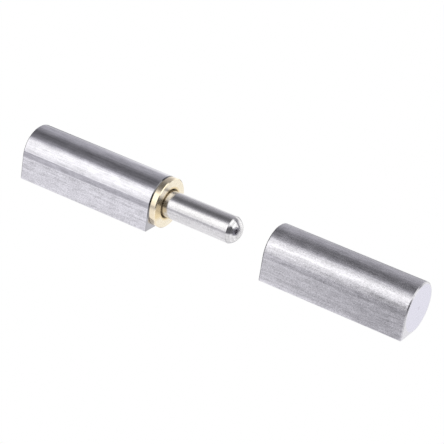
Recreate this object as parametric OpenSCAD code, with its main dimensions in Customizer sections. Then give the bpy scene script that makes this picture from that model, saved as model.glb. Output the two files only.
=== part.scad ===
// Weld-on lift-off hinge: two drawn-profile leaves on one domed pin, with a thrust washer between them.
// +X runs along the pin from the pin leaf to the socket leaf, and both leaves lie on a weld flat.

/* [Leaves] */
// Diameter of the round side of both leaves
body_d = 13; // [11:0.5:24]
// Length of each leaf
leaf_len = 39; // [30:0.5:80]
// Flat worn on the square corner of the profile
corner_break = 0.3; // [0.1:0.05:1]
// Angle at the axis of the narrow flat where each flank runs into the round
facet_angle = 13; // [4:1:30]
// Edge break on the outer end of each leaf
end_break = 0.3; // [0.2:0.05:1.5]
// Edge break where each leaf meets the washer
seat_break = 0.3; // [0.1:0.05:0.6]

/* [Pin] */
// Pin diameter
pin_d = 7; // [5:0.5:9]
// Pin length held in its leaf
pin_in = 18.3; // [12:0.1:34]
// Pin length standing out of its leaf, to the tip of the nose
pin_out = 22.7; // [16:0.1:23.5]
// Depth of the domed nose
nose_h = 2.3; // [1:0.1:3.4]
// Edge break on the hidden end of the pin
pin_break = 0.5; // [0.2:0.1:1]

/* [Washer] */
// Washer thickness
washer_t = 1.8; // [1:0.1:4]
// Washer outside diameter
washer_d = 13; // [11:0.5:24]
// Radial clearance of the washer on the pin
washer_gap = 0.08; // [0.02:0.01:0.1]
// Edge break on the washer's rim
washer_break = 0.2; // [0.05:0.05:0.4]
// Edge break on the washer's bore
bore_break = 0.3; // [0.05:0.05:0.4]

/* [Socket] */
// Radial clearance of the socket on the pin
socket_gap = 0.05; // [0.02:0.01:0.1]
// Depth of the straight wall of the socket
socket_depth = 22; // [21:0.5:34]
// Countersink at the socket's mouth
mouth_break = 0.6; // [0.2:0.1:1.2]
// Half angle of the drill point at the bottom of each hole
drill_half_angle = 59; // [45:1:70]

/* [Pose] */
// Free space between the washer and the socket leaf with the hinge taken apart
rest_gap = 30.9; // [0:0.1:60]

/* [Hidden] */
$fn = 96;
r = body_d / 2;
pin_r = pin_d / 2;
// the pin leaf's seat face
x_seat = -(washer_t + rest_gap) / 2;
// the socket leaf's mouth face
x_mouth = x_seat + washer_t + rest_gap;
socket_r = pin_r + socket_gap;
washer_bore_r = pin_r + washer_gap;
// radius of the ball that cuts the nose, so that it meets the pin at its full diameter
nose_r = (pin_r * pin_r + nose_h * nose_h) / (2 * nose_h);
nose_c = pin_out - nose_r;

// A solid of revolution about +X from a profile drawn as [radius, x]
module turned(points) {
    rotate([0, 90, 0])
        rotate_extrude()
            polygon(points);
}

// Profile of a leaf along its length, with an edge break at each end
function leaf_side(len, low, high) = [
    [0, 0],
    [r - low, 0],
    [r, low],
    [r, len - high],
    [r - high, len],
    [0, len]
];

// The round three quarters of a leaf, from x = 0 to its length
module leaf_round(len, low, high) {
    rotate([0, 90, 0])
        rotate_extrude(angle = 270)
            polygon(leaf_side(len, low, high));
}

// The square corner of a leaf, broken at both ends and along its long edge
module leaf_corner(len, low, high) {
    intersection() {
        // seen along Y: the bottom flat and its end breaks
        rotate([90, 0, 0])
            linear_extrude(height = r)
                polygon([
                    [low, -r],
                    [len - high, -r],
                    [len, high - r],
                    [len, 0],
                    [0, 0],
                    [0, low - r]
                ]);
        // seen along Z: the front flat and its end breaks
        translate([0, 0, -r])
            linear_extrude(height = r)
                polygon([
                    [low, -r],
                    [len - high, -r],
                    [len, high - r],
                    [len, 0],
                    [0, 0],
                    [0, low - r]
                ]);
        // seen along X: the broken corner
        rotate([90, 0, 90])
            linear_extrude(height = len)
                polygon([
                    [corner_break - r, -r],
                    [0, -r],
                    [0, 0],
                    [-r, 0],
                    [-r, corner_break - r]
                ]);
    }
}

// What the narrow flat takes off the round just above the front flank
module facet_cut(len) {
    rotate([90, 0, 90])
        linear_extrude(height = len)
            polygon([
                [-r, 0],
                [-r - 1, 0],
                [-r - 1, r * sin(facet_angle)],
                [-r * cos(facet_angle), r * sin(facet_angle)]
            ]);
}

module leaf_blank(len, low, high) {
    difference() {
        union() {
            leaf_round(len, low, high);
            leaf_corner(len, low, high);
        }
        facet_cut(len);
        // the same beside the bottom flank
        mirror([0, 1, -1])
            facet_cut(len);
    }
}

// A drilled blind hole along +X: straight wall, then the drill point
module blind_hole(hole_r, depth) {
    turned([
        [0, -1],
        [hole_r, -1],
        [hole_r, depth],
        [0, depth + hole_r / tan(drill_half_angle)]
    ]);
}

module male_leaf() {
    color([0.72, 0.72, 0.74])
        translate([x_seat, 0, 0])
            difference() {
                translate([-leaf_len, 0, 0])
                    leaf_blank(leaf_len, end_break, seat_break);
                mirror([1, 0, 0])
                    blind_hole(pin_r, pin_in);
            }
}

module pin() {
    color([0.78, 0.78, 0.8])
        translate([x_seat, 0, 0])
            rotate([0, 90, 0])
                rotate_extrude()
                    union() {
                        polygon([
                            [0, -pin_in],
                            [pin_r - pin_break, -pin_in],
                            [pin_r, pin_break - pin_in],
                            [pin_r, pin_out - nose_h],
                            [0, pin_out - nose_h]
                        ]);
                        // the nose is the end of a ball, so a crease shows where it meets the shaft
                        intersection() {
                            translate([0, nose_c])
                                circle(r = nose_r);
                            translate([0, pin_out - nose_h])
                                square([pin_d, 2 * nose_h]);
                        }
                    }
}

module washer() {
    color([0.85, 0.75, 0.45])
        translate([x_seat, 0, 0])
            turned([
                [washer_bore_r + bore_break, 0],
                [washer_d / 2 - washer_break, 0],
                [washer_d / 2, washer_break],
                [washer_d / 2, washer_t - washer_break],
                [washer_d / 2 - washer_break, washer_t],
                [washer_bore_r + bore_break, washer_t],
                [washer_bore_r, washer_t - bore_break],
                [washer_bore_r, bore_break]
            ]);
}

module female_leaf() {
    color([0.68, 0.68, 0.7])
        translate([x_mouth, 0, 0])
            difference() {
                leaf_blank(leaf_len, seat_break, end_break);
                blind_hole(socket_r, socket_depth);
                turned([
                    [0, -1],
                    [socket_r + mouth_break + 1, -1],
                    [socket_r, mouth_break],
                    [0, mouth_break]
                ]);
            }
}

male_leaf();
pin();
washer();
female_leaf();
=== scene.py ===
import math
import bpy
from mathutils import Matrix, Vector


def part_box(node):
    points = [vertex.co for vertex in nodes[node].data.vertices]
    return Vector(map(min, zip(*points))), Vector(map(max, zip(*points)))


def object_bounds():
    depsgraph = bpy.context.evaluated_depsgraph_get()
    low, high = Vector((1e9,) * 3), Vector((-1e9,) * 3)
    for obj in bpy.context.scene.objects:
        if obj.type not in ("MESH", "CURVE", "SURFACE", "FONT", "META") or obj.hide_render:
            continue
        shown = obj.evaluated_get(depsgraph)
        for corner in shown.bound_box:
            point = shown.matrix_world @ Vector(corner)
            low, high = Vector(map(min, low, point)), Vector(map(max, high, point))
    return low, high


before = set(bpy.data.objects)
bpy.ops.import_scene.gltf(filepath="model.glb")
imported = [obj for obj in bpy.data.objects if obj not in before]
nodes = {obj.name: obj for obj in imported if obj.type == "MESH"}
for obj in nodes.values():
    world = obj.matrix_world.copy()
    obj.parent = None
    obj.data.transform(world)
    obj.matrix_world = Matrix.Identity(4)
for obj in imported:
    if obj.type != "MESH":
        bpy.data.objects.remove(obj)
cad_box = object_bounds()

from types import SimpleNamespace

import bpy
from mathutils import Matrix, Vector

MM = 0.001

# Sizes of the hinge in mm, where a material changes from one surface to the next
BODY_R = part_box("washer")[1].z / MM  # the washer is as wide as the round of the leaves
PIN_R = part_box("pin")[1].z / MM
NOSE_DEPTH = 2.3
EDGE_BREAK = 0.3


# ---------------------------------------------------------------- camera
CAMERA_PLACE = (196.78, -365.59, 212.86)  # mm
CAMERA_RIGHT = (0.8367, 0.5296, 0.1397)
CAMERA_BACK = (0.4208, -0.7848, 0.4550)
CAMERA_LENS = 155.25  # mm
SENSOR_WIDTH = 36.0  # mm


def make_camera():
    """Long lens, a little above the hinge and in front of it, rolled so the pair runs down to the right."""
    data = bpy.data.cameras.new("camera")
    data.sensor_width = SENSOR_WIDTH
    data.lens = CAMERA_LENS
    data.clip_start, data.clip_end = 0.01, 10.0
    cam = bpy.data.objects.new("camera", data)
    bpy.context.scene.collection.objects.link(cam)
    right = Vector(CAMERA_RIGHT).normalized()
    back = Vector(CAMERA_BACK)
    back = (back - right * back.dot(right)).normalized()
    up = back.cross(right)
    turn = Matrix((right, up, back)).transposed().to_4x4()
    cam.matrix_world = Matrix.Translation(Vector(CAMERA_PLACE) * MM) @ turn
    bpy.context.scene.camera = cam


# ---------------------------------------------------------------- node helpers
class Graph:
    """Short names for building a node tree."""

    def __init__(self, tree):
        self.tree = tree
        tree.nodes.clear()

    def add(self, kind, **settings):
        node = self.tree.nodes.new(kind)
        for key, value in settings.items():
            setattr(node, key, value)
        return node

    def put(self, socket, value):
        if isinstance(value, bpy.types.NodeSocket):
            self.tree.links.new(value, socket)
        else:
            socket.default_value = value

    def math(self, op, *args, clamp=False):
        node = self.add("ShaderNodeMath", operation=op, use_clamp=clamp)
        for i, a in enumerate(args):
            self.put(node.inputs[i], a)
        return node.outputs[0]

    def total(self, first, *others):
        for other in others:
            first = self.math("ADD", first, other)
        return first

    def product(self, first, *others):
        for other in others:
            first = self.math("MULTIPLY", first, other)
        return first

    def one_minus(self, value):
        return self.math("SUBTRACT", 1.0, value)

    def apart(self, a, b):
        """How far apart two numbers are"""
        return self.math("ABSOLUTE", self.math("SUBTRACT", a, b))

    def vec(self, op, *args):
        node = self.add("ShaderNodeVectorMath", operation=op)
        for i, a in enumerate(args):
            if op == "SCALE" and i == 1:
                self.put(node.inputs["Scale"], a)
            else:
                self.put(node.inputs[i], a)
        return node.outputs["Value" if op == "DOT_PRODUCT" else "Vector"]

    def split(self, vector):
        node = self.add("ShaderNodeSeparateXYZ")
        self.put(node.inputs[0], vector)
        return node.outputs

    def join(self, x, y, z):
        node = self.add("ShaderNodeCombineXYZ")
        for i, a in enumerate((x, y, z)):
            self.put(node.inputs[i], a)
        return node.outputs[0]

    def place(self):
        """Where on the object, in mm"""
        return self.vec("SCALE", self.add("ShaderNodeTexCoord").outputs["Object"], 1000.0)

    def radius(self, y, z):
        """Distance from the hinge's axis"""
        return self.math("SQRT", self.total(self.product(y, y), self.product(z, z)))

    def round_axis(self, y, z):
        """Angle round the hinge's axis, in radians up from the front"""
        return self.math("ARCTAN2", z, self.math("MULTIPLY", y, -1.0))

    def noise(self, vector, scale, detail, rough):
        node = self.add("ShaderNodeTexNoise")
        self.put(node.inputs["Vector"], vector)
        node.inputs["Scale"].default_value = scale
        node.inputs["Detail"].default_value = detail
        node.inputs["Roughness"].default_value = rough
        return node.outputs["Fac"]

    def stretched(self, xyz, along, across, detail, rough):
        """Noise drawn out along the hinge: features per mm along it and across it"""
        scaled = [self.math("MULTIPLY", v, k) for v, k in zip(xyz, (along, across, across))]
        return self.noise(self.join(*scaled), 1.0, detail, rough)

    def span(self, value, a, b, c=0.0, d=1.0):
        """value from a..b to c..d, held at both ends"""
        node = self.add("ShaderNodeMapRange", clamp=True)
        self.put(node.inputs["Value"], value)
        for name, v in zip(("From Min", "From Max", "To Min", "To Max"), (a, b, c, d)):
            self.put(node.inputs[name], v)
        return node.outputs["Result"]

    def lerp(self, fac, a, b):
        """plain number from a to b"""
        node = self.add("ShaderNodeMix", data_type="FLOAT")
        for i, v in zip((0, 2, 3), (fac, a, b)):
            self.put(node.inputs[i], v)
        return node.outputs[0]

    def mix(self, fac, a, b):
        """colour from a to b"""
        node = self.add("ShaderNodeMix", data_type="RGBA")
        self.put(node.inputs["Factor"], fac)
        for socket, v in ((node.inputs[6], a), (node.inputs[7], b)):
            self.put(socket, v if isinstance(v, bpy.types.NodeSocket) else (*v, 1.0))
        return node.outputs[2]


# ---------------------------------------------------------------- studio
# What surrounds the hinge, as seen round its long axis: degrees up from the front, and brightness.
STUDIO = (
    (-180, 1.04), (-110, 0.98), (-70, 1.0), (-28, 0.94), (-19, 0.72), (-14, 0.58), (-9, 0.64), (-4, 1.04),
    (10, 1.2), (24, 1.42), (45, 1.42), (54, 0.95), (66, 0.35), (81, 0.19), (98, 0.17), (112, 0.28),
    (130, 0.44), (150, 0.57), (164, 0.77), (180, 1.04),
)
RAMP_TOP = 1.5  # the brightness that the ramp's white stands for
SHADE_TINT = (0.985, 0.975, 1.03)
LIGHT_TINT = (1.0, 1.0, 0.98)

# Cards beyond the socket leaf, in the order they are laid on, mirrored mostly in the pin's nose:
# direction, half width, half height and soft edge in degrees, and brightness.
CARDS = (
    ((0.45, 0.55, 0.62), 26, 16, 8, 0.4),  # dark strip behind the second softbox
    ((0.72, 0.62, 0.25), 7, 30, 3, 0.35),  # its lower end
    ((0.76, -0.62, 0.17), 38, 28, 6, 0.17),  # the dark side, where the camera stands
    ((0.69, 0.08, 0.70), 24, 25, 3, 1.6),  # second softbox
    ((0.89, 0.32, 0.30), 9, 20, 3, 1.5),  # its lower corner
)

TUNNEL_R = 300 * MM
TUNNEL_ENDS = (-600 * MM, -20 * MM)
TUNNEL_SIDES = 72
TUNNEL_GAIN = 0.987
FLOOR_HALF = 3.0  # m
FLOOR_GAP = 0.02 * MM  # keeps the floor clear of the leaves' bottom flats
BACKDROP_R = 4.0  # m
BACKDROP_SIDES = 24


def strip_light(g, around):
    """Brightness of the studio round the long axis, from an angle in radians"""
    ramp = g.add("ShaderNodeValToRGB")
    ramp.color_ramp.interpolation = "LINEAR"
    while len(ramp.color_ramp.elements) > 1:
        ramp.color_ramp.elements.remove(ramp.color_ramp.elements[-1])
    for i, (angle, level) in enumerate(STUDIO):
        at = (angle + 180) / 360
        stop = ramp.color_ramp.elements[0] if i == 0 else ramp.color_ramp.elements.new(at)
        stop.position = at
        v = level / RAMP_TOP
        stop.color = (v, v, v, 1)
    g.put(ramp.inputs[0], g.span(around, -math.pi, math.pi))
    return g.math("MULTIPLY", ramp.outputs[0], RAMP_TOP)


def light_colour(g, level):
    """Dark parts of the studio are a little blue, and the softboxes a little warm"""
    return g.mix(g.span(level, 0.5, 1.3), SHADE_TINT, LIGHT_TINT)


def card(g, direction, centre, half_w, half_h, soft):
    """Mask of a rectangular card seen in a direction: half sizes and soft edge in degrees"""
    out = Vector(centre).normalized()
    side = Vector((0, 0, 1)).cross(out).normalized()
    up = out.cross(side)
    depth = g.math("MAXIMUM", g.vec("DOT_PRODUCT", direction, out), 0.001)
    edges = []
    for axis, half in ((side, half_w), (up, half_h)):
        across = g.math("ABSOLUTE", g.math("DIVIDE", g.vec("DOT_PRODUCT", direction, axis), depth))
        inner, outer = math.tan(math.radians(half - soft)), math.tan(math.radians(half + soft))
        edges.append(g.span(across, inner, outer, 1.0, 0.0))
    return g.product(*edges)


def world_level(g, direction):
    """Brightness of the studio in a direction from the hinge"""
    x, y, z = g.split(direction)
    level = strip_light(g, g.round_axis(y, z))
    # towards the socket leaf's end the strips give way to a plain pale wall, brighter at the back
    wall_from = g.span(y, -0.3, 0.9, 0.05, -0.22)
    wall = g.math("DIVIDE", g.math("SUBTRACT", x, wall_from), 0.25, clamp=True)
    wall_level = g.total(g.span(y, 0.1, 0.6, 1.15, 1.2), g.span(y, 0.82, 0.95, 0.0, 0.28))
    level = g.lerp(wall, level, wall_level)
    # at the pin leaf's end, a lamp above and the table below, with a dark patch to the front
    far_wall = g.total(g.span(z, 0.12, 0.3, 0.0, 0.8), g.span(z, 0.1, -0.1, 1.0, 0.9))
    patch = g.product(g.span(y, -0.03, -0.13), g.span(g.math("ABSOLUTE", z), 0.2, 0.1))
    far_wall = g.lerp(patch, far_wall, 0.15)
    level = g.lerp(g.span(x, -0.78, -0.86), level, far_wall)
    for centre, half_w, half_h, soft, brightness in CARDS:
        level = g.lerp(card(g, direction, centre, half_w, half_h, soft), level, brightness)
    return level


def make_world():
    world = bpy.data.worlds.new("studio")
    bpy.context.scene.world = world
    world.use_nodes = True
    g = Graph(world.node_tree)
    out = g.add("ShaderNodeOutputWorld")
    background = g.add("ShaderNodeBackground")
    direction = g.add("ShaderNodeTexCoord").outputs["Generated"]
    level = world_level(g, direction)
    # the socket leaf's end of the set is brighter than the pin leaf's
    end_gain = g.span(g.split(direction)["X"], -1.0, 1.0, 0.736, 0.928)
    g.put(background.inputs["Color"], light_colour(g, level))
    g.put(background.inputs["Strength"], g.product(level, end_gain))
    g.tree.links.new(background.outputs[0], out.inputs["Surface"])


def glowing(name):
    mat = bpy.data.materials.new(name)
    mat.use_nodes = True
    g = Graph(mat.node_tree)
    glow = g.add("ShaderNodeEmission")
    glow.inputs["Color"].default_value = (1, 1, 1, 1)
    out = g.add("ShaderNodeOutputMaterial")
    g.tree.links.new(glow.outputs[0], out.inputs["Surface"])
    return mat, g, glow, out


def stage_object(name, verts, faces, mat):
    mesh = bpy.data.meshes.new(name)
    mesh.from_pydata(verts, [], faces)
    mesh.materials.append(mat)
    obj = bpy.data.objects.new(name, mesh)
    bpy.context.scene.collection.objects.link(obj)
    return obj


def circle(sides):
    """Points of a circle of radius 1"""
    turn = [2 * math.pi * i / sides for i in range(sides)]
    return [(math.cos(t), math.sin(t)) for t in turn]


def tube_faces(sides):
    """Faces between two rings of points"""
    return [(i, (i + 1) % sides, sides + (i + 1) % sides, sides + i) for i in range(sides)]


def tunnel_level(g, x, around):
    """Brightness of the tunnel, from the place along it in mm and the angle round it in radians"""
    degrees = g.math("MULTIPLY", around, 180 / math.pi)
    # the upper edge of the front softbox runs a little uphill towards both ends
    rise = g.total(g.span(x, -155, -225, 0.6, 4.5), g.span(x, -138, -112, 0.0, 10.0))
    rise = g.product(rise, g.product(g.span(degrees, 30, 52), g.span(degrees, 150, 110)))
    level = strip_light(g, g.math("SUBTRACT", around, g.math("MULTIPLY", rise, math.pi / 180)))
    # in front, the table and the lower part of the softbox fade towards the right
    low_front = g.total(g.span(degrees, -130, -60, 0.0, 0.68), g.span(degrees, -20, -8, 0.0, 0.32))
    low_front = g.product(low_front, g.span(degrees, 36, 15))
    fade = g.total(g.span(x, -118, -80, 0.0, 0.27), g.span(x, -80, -50, 0.0, 0.62))
    level = g.product(level, g.one_minus(g.product(fade, low_front)))
    # behind, it is brightest in the middle
    behind = g.total(g.span(degrees, 130, 175), g.span(degrees, -120, -165))
    far_down = g.product(g.span(degrees, -180, -154, 0.0, 2.2), g.span(degrees, -120, -140))
    left = g.span(x, -163, -215, 0.0, 0.35)
    right = g.total(g.span(x, -135, -113, 0.0, 0.21), g.span(x, -113, -46, 0.0, 0.11))
    dim = g.product(g.total(left, right), g.total(behind, far_down))
    return g.product(level, g.one_minus(dim))


def make_tunnel():
    """Strip lights at a real distance, so that what each leaf mirrors changes along its length"""
    mat, g, glow, _ = glowing("tunnel_light")
    x, y, z = g.split(g.place())
    level = tunnel_level(g, x, g.round_axis(y, z))
    g.put(glow.inputs["Color"], light_colour(g, level))
    g.put(glow.inputs["Strength"], g.product(level, TUNNEL_GAIN))
    verts = [(end, TUNNEL_R * c, TUNNEL_R * s) for end in TUNNEL_ENDS for c, s in circle(TUNNEL_SIDES)]
    tunnel = stage_object("tunnel", verts, tube_faces(TUNNEL_SIDES), mat)
    tunnel.visible_camera = False
    tunnel.visible_diffuse = False
    tunnel.visible_shadow = False


def make_floor():
    mat, g, glow, out = glowing("floor_white")
    # nothing to see from below, so that the underside can be looked at
    clear = g.add("ShaderNodeBsdfTransparent")
    sided = g.add("ShaderNodeMixShader")
    g.put(sided.inputs[0], g.add("ShaderNodeNewGeometry").outputs["Backfacing"])
    g.tree.links.new(glow.outputs[0], sided.inputs[1])
    g.tree.links.new(clear.outputs[0], sided.inputs[2])
    g.tree.links.new(sided.outputs[0], out.inputs["Surface"])
    s = FLOOR_HALF
    z = cad_box[0].z - FLOOR_GAP
    floor = stage_object("floor", [(-s, -s, z), (s, -s, z), (s, s, z), (-s, s, z)], [(0, 1, 2, 3)], mat)
    floor.visible_glossy = False
    floor.visible_shadow = False


def make_backdrop():
    """White sweep behind everything, seen only by the camera"""
    mat = glowing("backdrop_white")[0]
    ring = [(BACKDROP_R * c, BACKDROP_R * s) for c, s in circle(BACKDROP_SIDES)]
    verts = [(x, y, z) for z in (-BACKDROP_R, BACKDROP_R) for x, y in ring]
    lids = [tuple(range(BACKDROP_SIDES)), tuple(range(BACKDROP_SIDES, 2 * BACKDROP_SIDES))]
    backdrop = stage_object("backdrop", verts, tube_faces(BACKDROP_SIDES) + lids, mat)
    backdrop.visible_glossy = False
    backdrop.visible_diffuse = False
    backdrop.visible_shadow = False


# ---------------------------------------------------------------- metals
def metal(name):
    mat = bpy.data.materials.new(name)
    mat.use_nodes = True
    g = Graph(mat.node_tree)
    out = g.add("ShaderNodeOutputMaterial")
    shader = g.add("ShaderNodeBsdfPrincipled")
    g.tree.links.new(shader.outputs[0], out.inputs["Surface"])
    shader.inputs["Metallic"].default_value = 1.0
    return mat, g, shader, g.place()


def bumped(g, shader, height, depth_mm):
    bump = g.add("ShaderNodeBump")
    bump.inputs["Strength"].default_value = 1.0
    bump.inputs["Distance"].default_value = depth_mm * MM
    g.put(bump.inputs["Height"], height)
    g.put(shader.inputs["Normal"], bump.outputs[0])


def leaf_regions(g, node, x, y, z, radius):
    """Masks of a leaf's surfaces, each 1 on its surface and 0 elsewhere"""
    first, last = (corner.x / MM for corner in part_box(node))
    joint, outer = (last, first) if node == "male_leaf" else (first, last)
    from_joint, from_outer = g.apart(x, joint), g.apart(x, outer)
    on = SimpleNamespace()
    # the two weld flats, and the square corner between them
    at_flat = (0.10 - BODY_R, 0.02 - BODY_R)
    front = g.product(g.span(y, *at_flat), g.span(z, 0.1, -0.1))
    under = g.product(g.span(z, *at_flat), g.span(y, 0.1, -0.1))
    on.flank = g.math("MAXIMUM", front, under)
    at_corner = (1.3 - BODY_R, 0.3 - BODY_R)
    on.corner = g.product(g.span(y, *at_corner), g.span(z, *at_corner))
    # the face at the joint with its edge break, both ends, and all the rest
    on.seat = g.span(from_joint, EDGE_BREAK + 0.04, EDGE_BREAK - 0.02)
    on.end = g.math("MAXIMUM", on.seat, g.span(from_outer, 0.08, 0.02))
    on.side = g.one_minus(on.end)
    # the ends but for their border, and the break round the joint's face but for the square corner
    on.cut = g.product(on.end, g.span(radius, BODY_R - 0.4, BODY_R - 0.6))
    in_round = g.span(radius, BODY_R + 0.5, BODY_R + 0.1)
    on.bevel = g.product(on.seat, g.span(from_joint, 0.03, 0.08), in_round)
    # the break round the outer end, and the hole's wall
    on.rim = g.product(g.span(from_outer, EDGE_BREAK, EDGE_BREAK - 0.04), on.side)
    on.bore = g.product(g.span(radius, PIN_R + 0.25, PIN_R + 0.15), on.side)
    return on


def leaf_marks(g, place, radius, seed):
    """Noises for what drawing, handling and turning leave on a leaf"""
    xyz = g.split(g.vec("ADD", place, (0.0, seed, seed * 0.37)))
    rings = g.join(g.math("MULTIPLY", radius, 5.0), seed, 0.0)
    return SimpleNamespace(
        draw=g.stretched(xyz, along=0.03, across=1.8, detail=5.0, rough=0.7),
        scratch=g.stretched(xyz, along=0.22, across=2.4, detail=4.0, rough=0.65),
        mottle=g.stretched(xyz, along=0.35, across=0.6, detail=5.0, rough=0.65),
        pit=g.stretched(xyz, along=1.8, across=3.0, detail=2.0, rough=0.5),
        sand=g.stretched(xyz, along=2.6, across=3.2, detail=2.0, rough=0.6),
        ring=g.noise(rings, scale=1.0, detail=3.0, rough=0.6),
    )


def drawn_steel(node, tone, flank_gain, corner_gain, seat_shade_gain, rough, edge_tint, grit, seed):
    """Bright drawn bar: draw marks along it, short scratches, mottling and pits, and turned ends.

    flank_gain and corner_gain make the two weld flats and the square corner lighter or darker; the gain for
    the face at the joint paints shade on that face, where the next part shades it. grit is how sandy the
    round side is; the weld flats always are.
    """
    mat, g, shader, place = metal(node + "_steel")
    shader.inputs["Specular Tint"].default_value = (edge_tint, edge_tint, edge_tint, 1.0)
    x, y, z = g.split(place)
    radius = g.radius(y, z)
    on = leaf_regions(g, node, x, y, z, radius)
    mark = leaf_marks(g, place, radius, seed)
    sandy = g.lerp(on.flank, grit, 1.0)

    # lighter and darker: the marks, the sand and the pits, then each region
    drawn = g.total(g.product(mark.draw, 0.36), g.product(mark.scratch, 0.34), g.product(mark.mottle, 0.30))
    gain = g.span(drawn, 0.36, 0.64, 0.73, 1.27)
    gain = g.total(gain, g.product(g.math("SUBTRACT", mark.sand, 0.5), g.product(sandy, 0.95)))
    pits = g.product(g.span(mark.pit, 0.64, 0.76), 0.24)
    gain = g.math("SUBTRACT", gain, g.product(pits, on.side))
    gain = g.product(gain, g.lerp(on.flank, 1.0, flank_gain), g.lerp(on.corner, 1.0, corner_gain))
    # turned ends, with a small mark left at the centre
    centre = g.span(radius, 0.55, 0.35, 0.0, 0.16)
    turned = g.math("SUBTRACT", g.span(mark.ring, 0.3, 0.7, 1.07, 1.18), centre)
    gain = g.lerp(on.end, gain, turned)
    # painted shade: the face at the joint and the break round it are darkened, where the next part shades
    # them
    gain = g.product(gain, g.lerp(on.seat, 1.0, seat_shade_gain), g.lerp(on.bevel, 1.0, 0.4))
    gain = g.lerp(on.bore, gain, 1.4)
    gain = g.product(gain, g.lerp(on.rim, 1.0, 0.80))
    # the cut ends are a little bluer
    colour = g.mix(on.cut, tone, (tone[0], tone[1], tone[2] * 1.08))
    g.put(shader.inputs["Base Color"], g.vec("SCALE", colour, gain))

    worn = g.span(g.total(mark.scratch, mark.mottle), 0.7, 1.3, rough - 0.04, rough + 0.06)
    end_rough = g.span(mark.ring, 0.3, 0.7, rough, rough + 0.08)
    g.put(shader.inputs["Roughness"], g.lerp(on.end, worn, end_rough))
    grain = g.total(g.product(mark.sand, 0.7), g.product(mark.pit, -0.22))
    streaks = g.total(g.product(mark.scratch, 0.20), g.product(mark.draw, 0.18))
    height = g.total(g.product(grain, sandy), streaks)
    bumped(g, shader, g.lerp(on.end, height, g.product(mark.ring, 0.5)), depth_mm=0.026)
    return mat


PIN_TONE = (0.705, 0.695, 0.712)


def ground_steel():
    """Ground pin: faint turning rings, stronger on the nose"""
    mat, g, shader, place = metal("pin_steel")
    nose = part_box("pin")[1].x / MM - NOSE_DEPTH
    x, y, z = g.split(place)
    radius = g.radius(y, z)
    on_nose = g.span(x, nose - 0.05, nose + 0.05)
    ring = g.stretched((x, y, z), along=6.0, across=0.12, detail=3.0, rough=0.6)
    mottle = g.stretched((x, y, z), along=0.2, across=1.8, detail=4.0, rough=0.65)
    fine = g.stretched((x, y, z), along=2.5, across=2.5, detail=2.0, rough=0.6)
    gain = g.span(g.total(mottle, fine), 0.75, 1.25, 0.84, 1.16)
    gain = g.product(gain, g.lerp(on_nose, 1.0, g.span(ring, 0.34, 0.66, 0.74, 1.26)))
    g.put(shader.inputs["Base Color"], g.vec("SCALE", PIN_TONE, gain))
    # the nose is turned and not ground, coarser towards its tip
    shaft = g.span(ring, 0.3, 0.7, 0.10, 0.17)
    turned = g.total(g.span(ring, 0.3, 0.7, 0.09, 0.18), g.span(radius, 1.8, 0.8, 0.0, 0.24))
    g.put(shader.inputs["Roughness"], g.lerp(on_nose, shaft, turned))
    height = g.total(g.product(ring, g.lerp(on_nose, 0.25, 1.8)), g.product(fine, 0.3))
    bumped(g, shader, height, depth_mm=0.014)
    return mat


BRASS_FACE = ((0.82, 0.735, 0.575), (0.91, 0.84, 0.71))
BRASS_RIM = ((0.85, 0.73, 0.53), (0.96, 0.86, 0.69))
PAINTED_PIN_REFLECTION = (0.78, 0.62, 0.36)
PAINTED_GAP_SHADE = (0.24, 0.18, 0.10)


def brass():
    """Turned washer: rings on its faces and round its rim"""
    mat, g, shader, place = metal("washer_brass")
    x, y, z = g.split(place)
    radius = g.radius(y, z)
    rings = g.join(g.math("MULTIPLY", radius, 5.0), g.math("MULTIPLY", x, 4.0), 0.0)
    ring = g.noise(rings, scale=1.0, detail=3.0, rough=0.6)
    mottle = g.noise(place, scale=1.2, detail=3.0, rough=0.6)
    fine = g.noise(place, scale=3.0, detail=2.0, rough=0.6)
    tone = g.span(g.total(g.product(mottle, 0.5), g.product(fine, 0.5)), 0.35, 0.65)
    rim = g.span(radius, BODY_R - 0.25, BODY_R - 0.15)
    face_colour = g.mix(tone, *BRASS_FACE)
    # painted reflection: browner in front and towards the bore, where the face mirrors the pin; painted
    # shade: a dark ring where the pin comes out, for the gap between bore and pin
    front = g.product(g.span(y, -1.6, -3.2), g.span(g.math("ABSOLUTE", z), 3.4, 2.0))
    brown = g.math("MAXIMUM", g.product(front, 0.9), g.span(radius, PIN_R + 1.1, PIN_R + 0.55))
    face_colour = g.mix(brown, face_colour, PAINTED_PIN_REFLECTION)
    # painted shade: a dark ring round the bore, for the gap where the pin comes out
    face_colour = g.mix(g.span(radius, PIN_R + 0.55, PIN_R + 0.4), face_colour, PAINTED_GAP_SHADE)
    g.put(shader.inputs["Base Color"], g.mix(rim, face_colour, g.mix(tone, *BRASS_RIM)))
    # the rim is smoother than the two faces
    face_rough, rim_rough = g.span(ring, 0.3, 0.7, 0.22, 0.34), g.span(ring, 0.3, 0.7, 0.13, 0.20)
    g.put(shader.inputs["Roughness"], g.lerp(rim, face_rough, rim_rough))
    bumped(g, shader, g.total(ring, g.product(fine, 0.4)), depth_mm=0.012)
    return mat


LEAVES = {
    "male_leaf": dict(
        tone=(0.69, 0.68, 0.728), flank_gain=1.01, corner_gain=1.0, seat_shade_gain=0.56,
        rough=0.09, edge_tint=1.0, grit=0.4, seed=0.0,
    ),
    "female_leaf": dict(
        tone=(0.702, 0.691, 0.733), flank_gain=0.94, corner_gain=1.32, seat_shade_gain=0.55,
        rough=0.25, edge_tint=0.80, grit=0.9, seed=40.0,
    ),
}


def dress(node, mat):
    obj = nodes[node]
    obj.data.materials.clear()
    obj.data.materials.append(mat)


bpy.context.scene.view_settings.view_transform = "Standard"
make_camera()
make_world()
make_tunnel()
make_floor()
make_backdrop()
for leaf, look in LEAVES.items():
    dress(leaf, drawn_steel(leaf, **look))
dress("pin", ground_steel())
dress("washer", brass())
